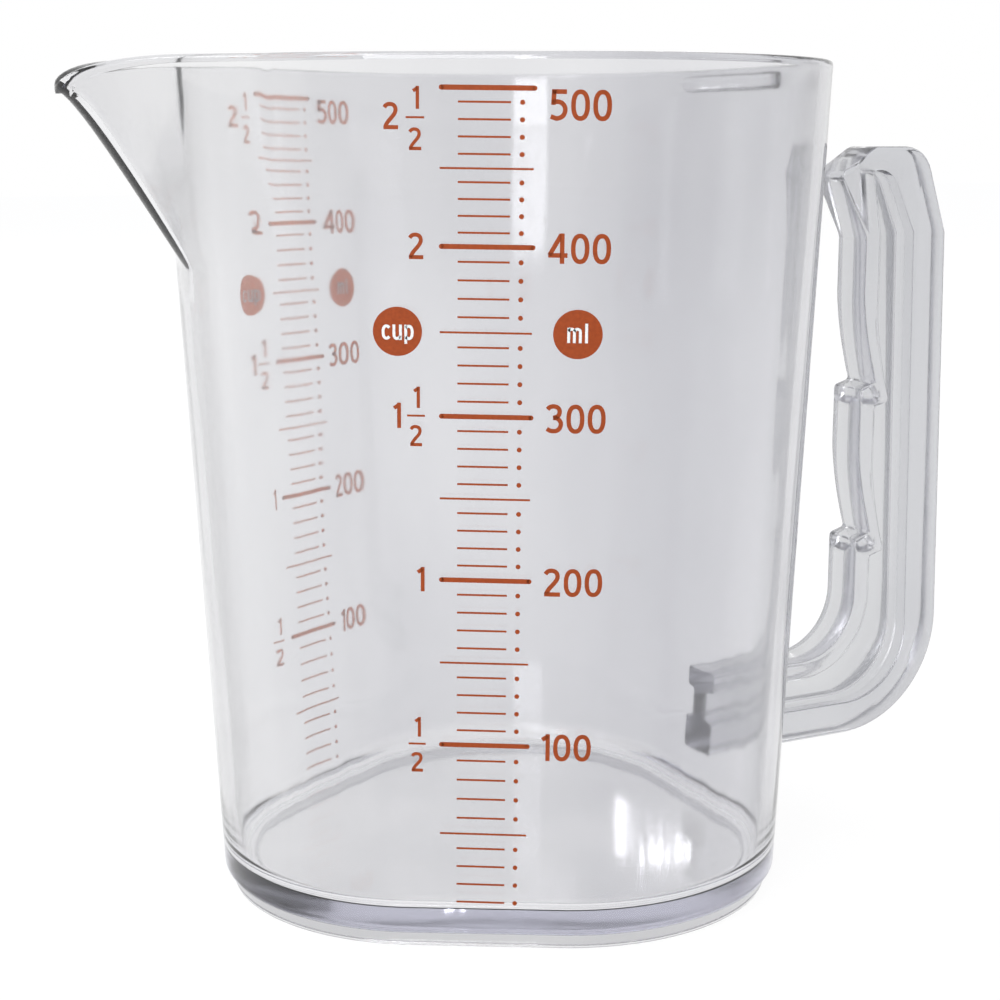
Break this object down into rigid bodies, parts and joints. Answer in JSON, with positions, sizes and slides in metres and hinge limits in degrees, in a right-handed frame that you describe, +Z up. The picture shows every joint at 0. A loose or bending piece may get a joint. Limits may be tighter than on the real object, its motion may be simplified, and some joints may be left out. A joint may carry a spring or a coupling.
{
  "type": "resin mixing cup",
  "caption": "Clear plastic measuring and mixing cup with a rounded triangular body, a pouring spout, an open-topped finger handle, a foot ring and printed ml and cup scales.",
  "frame": {"origin": "middle of the bounding box on the table plane, under the cup near its axis; the cup's own axis stands 8.1 mm to the spout's side of it, at X = -8.1 mm", "axes": "+X from the spout towards the handle, +Y to the left of that, +Z up"},
  "size_m": [0.137, 0.0886, 0.113],
  "materials": {
    "clear_plastic": "clear, glossy, lightly used",
    "clear_plastic_base": "clear, glossy, bluish where it is thick",
    "scale_ink": "opaque printed ink, satin"
  },
  "bodies": {
    "root": {"cup_wall": "clear_plastic", "cup_floor": "clear_plastic_base", "foot_ring": "clear_plastic_base", "rim_bead": "clear_plastic", "handle_grip": "clear_plastic", "handle_web": "clear_plastic", "handle_spine": "clear_plastic", "front_scale": "scale_ink", "rear_scale": "scale_ink"}
  },
  "joints": []
}
